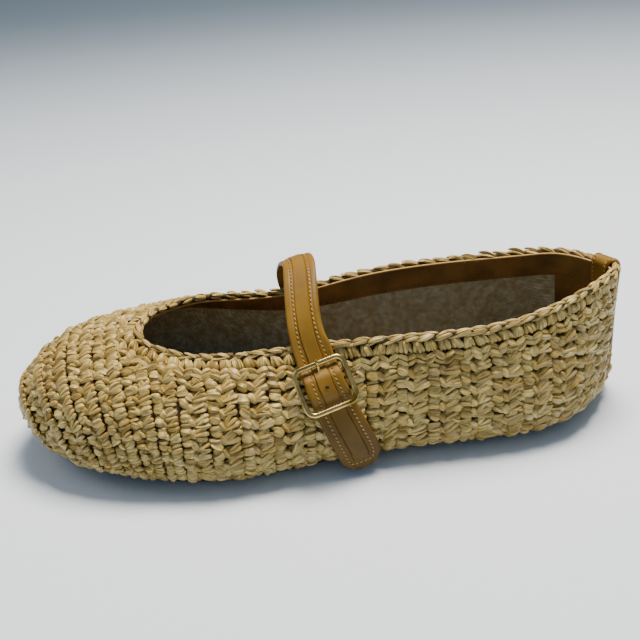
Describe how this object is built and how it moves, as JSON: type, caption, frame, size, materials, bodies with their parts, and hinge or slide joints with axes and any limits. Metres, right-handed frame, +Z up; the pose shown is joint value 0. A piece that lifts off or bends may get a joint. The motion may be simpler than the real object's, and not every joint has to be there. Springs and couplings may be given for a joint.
{
  "type": "mary jane flat",
  "caption": "Left round-toed mary jane flat with a crocheted raffia upper, a leather instep strap fastened by a brass buckle and a thin flat sole.",
  "frame": {"origin": "on the floor under the middle of the heel seat", "axes": "+Z up, +Y towards the heel, -Y towards the toe, +X towards the outer side of the left foot"},
  "size_m": [0.0957, 0.2512, 0.0745],
  "materials": {
    "raffia": "crocheted raffia straw, satin",
    "tan_leather": "smooth tan leather, satin",
    "lining_leather": "smooth brown lining leather",
    "sole": "matt brown sole rubber",
    "brass": "antique brass, polished edges"
  },
  "bodies": {
    "root": {"outsole": "sole", "upper": "raffia", "insole": "lining_leather", "topline_edging": "raffia", "heel_strip": "tan_leather", "strap": "tan_leather", "buckle_tab": "tan_leather", "buckle_frame": "brass", "buckle_prong": "brass"}
  },
  "joints": []
}
